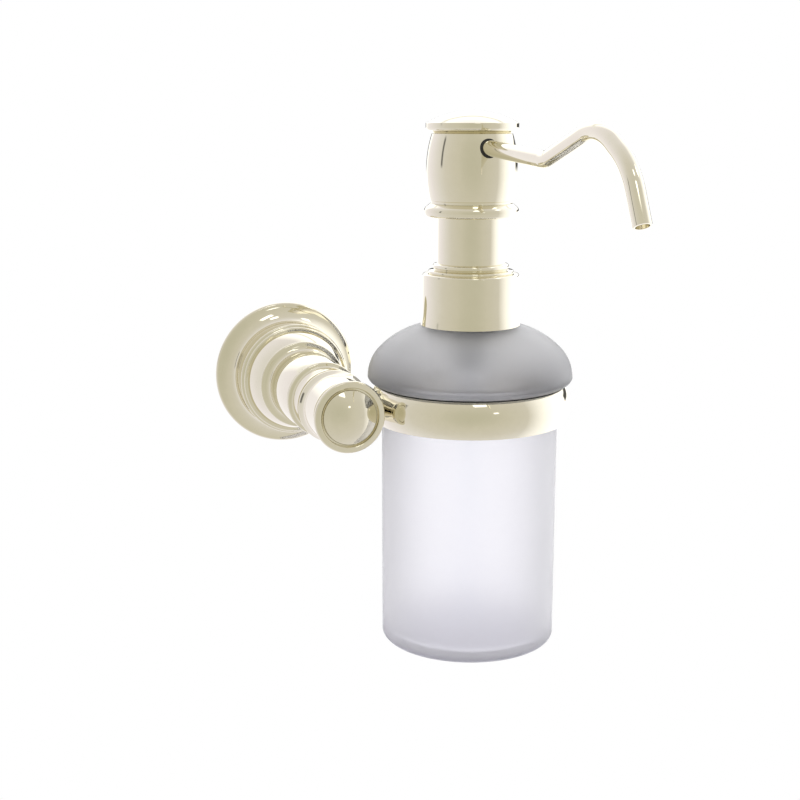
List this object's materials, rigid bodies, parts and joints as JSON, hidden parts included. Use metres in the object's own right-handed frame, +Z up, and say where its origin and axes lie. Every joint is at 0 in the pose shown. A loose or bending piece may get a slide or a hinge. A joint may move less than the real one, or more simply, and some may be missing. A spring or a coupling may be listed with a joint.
{
  "type": "wall mounted soap dispenser",
  "caption": "Wall mounted soap dispenser: a turned post carries a ring that holds a shouldered glass bottle with a lotion pump and a long curved spout.",
  "frame": {"origin": "on the wall plane, at the centre of the flange and of its two screw holes", "axes": "-Y straight out of the wall along the post, +X along the wall from the post to the bottle, +Z up"},
  "size_m": [0.1257, 0.2235, 0.2111],
  "materials": {
    "polished_nickel": "polished nickel plate, warm tint",
    "frosted_glass": "satin frosted glass, greyer at the shoulder",
    "bracket_steel": "plain zinc plated",
    "steel": "stainless",
    "white_plastic": "moulded polypropylene",
    "clear_plastic": "natural translucent polyethylene",
    "gasket_rubber": "smooth moulded rubber"
  },
  "bodies": {
    "mount": {"wall_bracket": "bracket_steel", "wall_flange": "polished_nickel", "flange_set_screw": "steel", "post_neck": "polished_nickel", "bead_collar": "polished_nickel", "post_knob": "polished_nickel", "knob_finial": "polished_nickel", "tie_rod": "steel", "ring_stub": "polished_nickel", "ring_screw": "steel", "holder_ring": "polished_nickel", "ring_gasket": "gasket_rubber"},
    "bottle": {"glass_bottle": "frosted_glass"},
    "pump": {"neck_gasket": "gasket_rubber", "pump_cylinder": "clear_plastic", "pump_retainer": "white_plastic", "ball_cage": "white_plastic", "dip_tube": "clear_plastic", "return_spring": "steel"},
    "collar": {"collar_shell": "polished_nickel", "closure_insert": "white_plastic", "guide_sleeve": "polished_nickel"},
    "inlet_valve": {"inlet_ball": "steel"},
    "plunger": {"pump_stem": "white_plastic", "piston_seal": "white_plastic"},
    "outlet_valve": {"outlet_ball": "steel"},
    "head": {"head_barrel": "polished_nickel", "head_base_ring": "polished_nickel", "head_core": "white_plastic", "head_cap": "polished_nickel", "spout_tube": "polished_nickel", "spout_seal": "gasket_rubber"}
  },
  "joints": [
    {"name": "bottle_lift", "type": "slide", "parent": "mount", "child": "bottle", "axis": [0, 0, 1], "range_m": [0, 0.11]},
    {"name": "pump_rise", "type": "slide", "parent": "bottle", "child": "pump", "axis": [0, 0, 1], "range_m": [0, 0.003]},
    {"name": "collar_turn", "type": "hinge", "parent": "pump", "child": "collar", "pos_m": [0.0539, -0.0873, 0.04], "axis": [0, 0, 1], "range_deg": [0, 360]},
    {"name": "inlet_ball_lift", "type": "slide", "parent": "pump", "child": "inlet_valve", "axis": [0, 0, 1], "range_m": [0, 0.0015]},
    {"name": "head_press", "type": "slide", "parent": "pump", "child": "plunger", "axis": [0, 0, -1], "range_m": [0, 0.014], "stiffness_N_per_m": 300, "springref_m": -0.01, "deforming": ["return_spring"]},
    {"name": "outlet_ball_lift", "type": "slide", "parent": "plunger", "child": "outlet_valve", "axis": [0, 0, 1], "range_m": [0, 0.0015]},
    {"name": "head_swivel", "type": "hinge", "parent": "plunger", "child": "head", "pos_m": [0.0539, -0.0873, 0.0997], "axis": [0, 0, 1], "range_deg": [-120, 120]}
  ],
  "couplings": [
    {"joint": "collar_turn", "follows": "pump_rise", "rad_per_m": 2094.4}
  ]
}
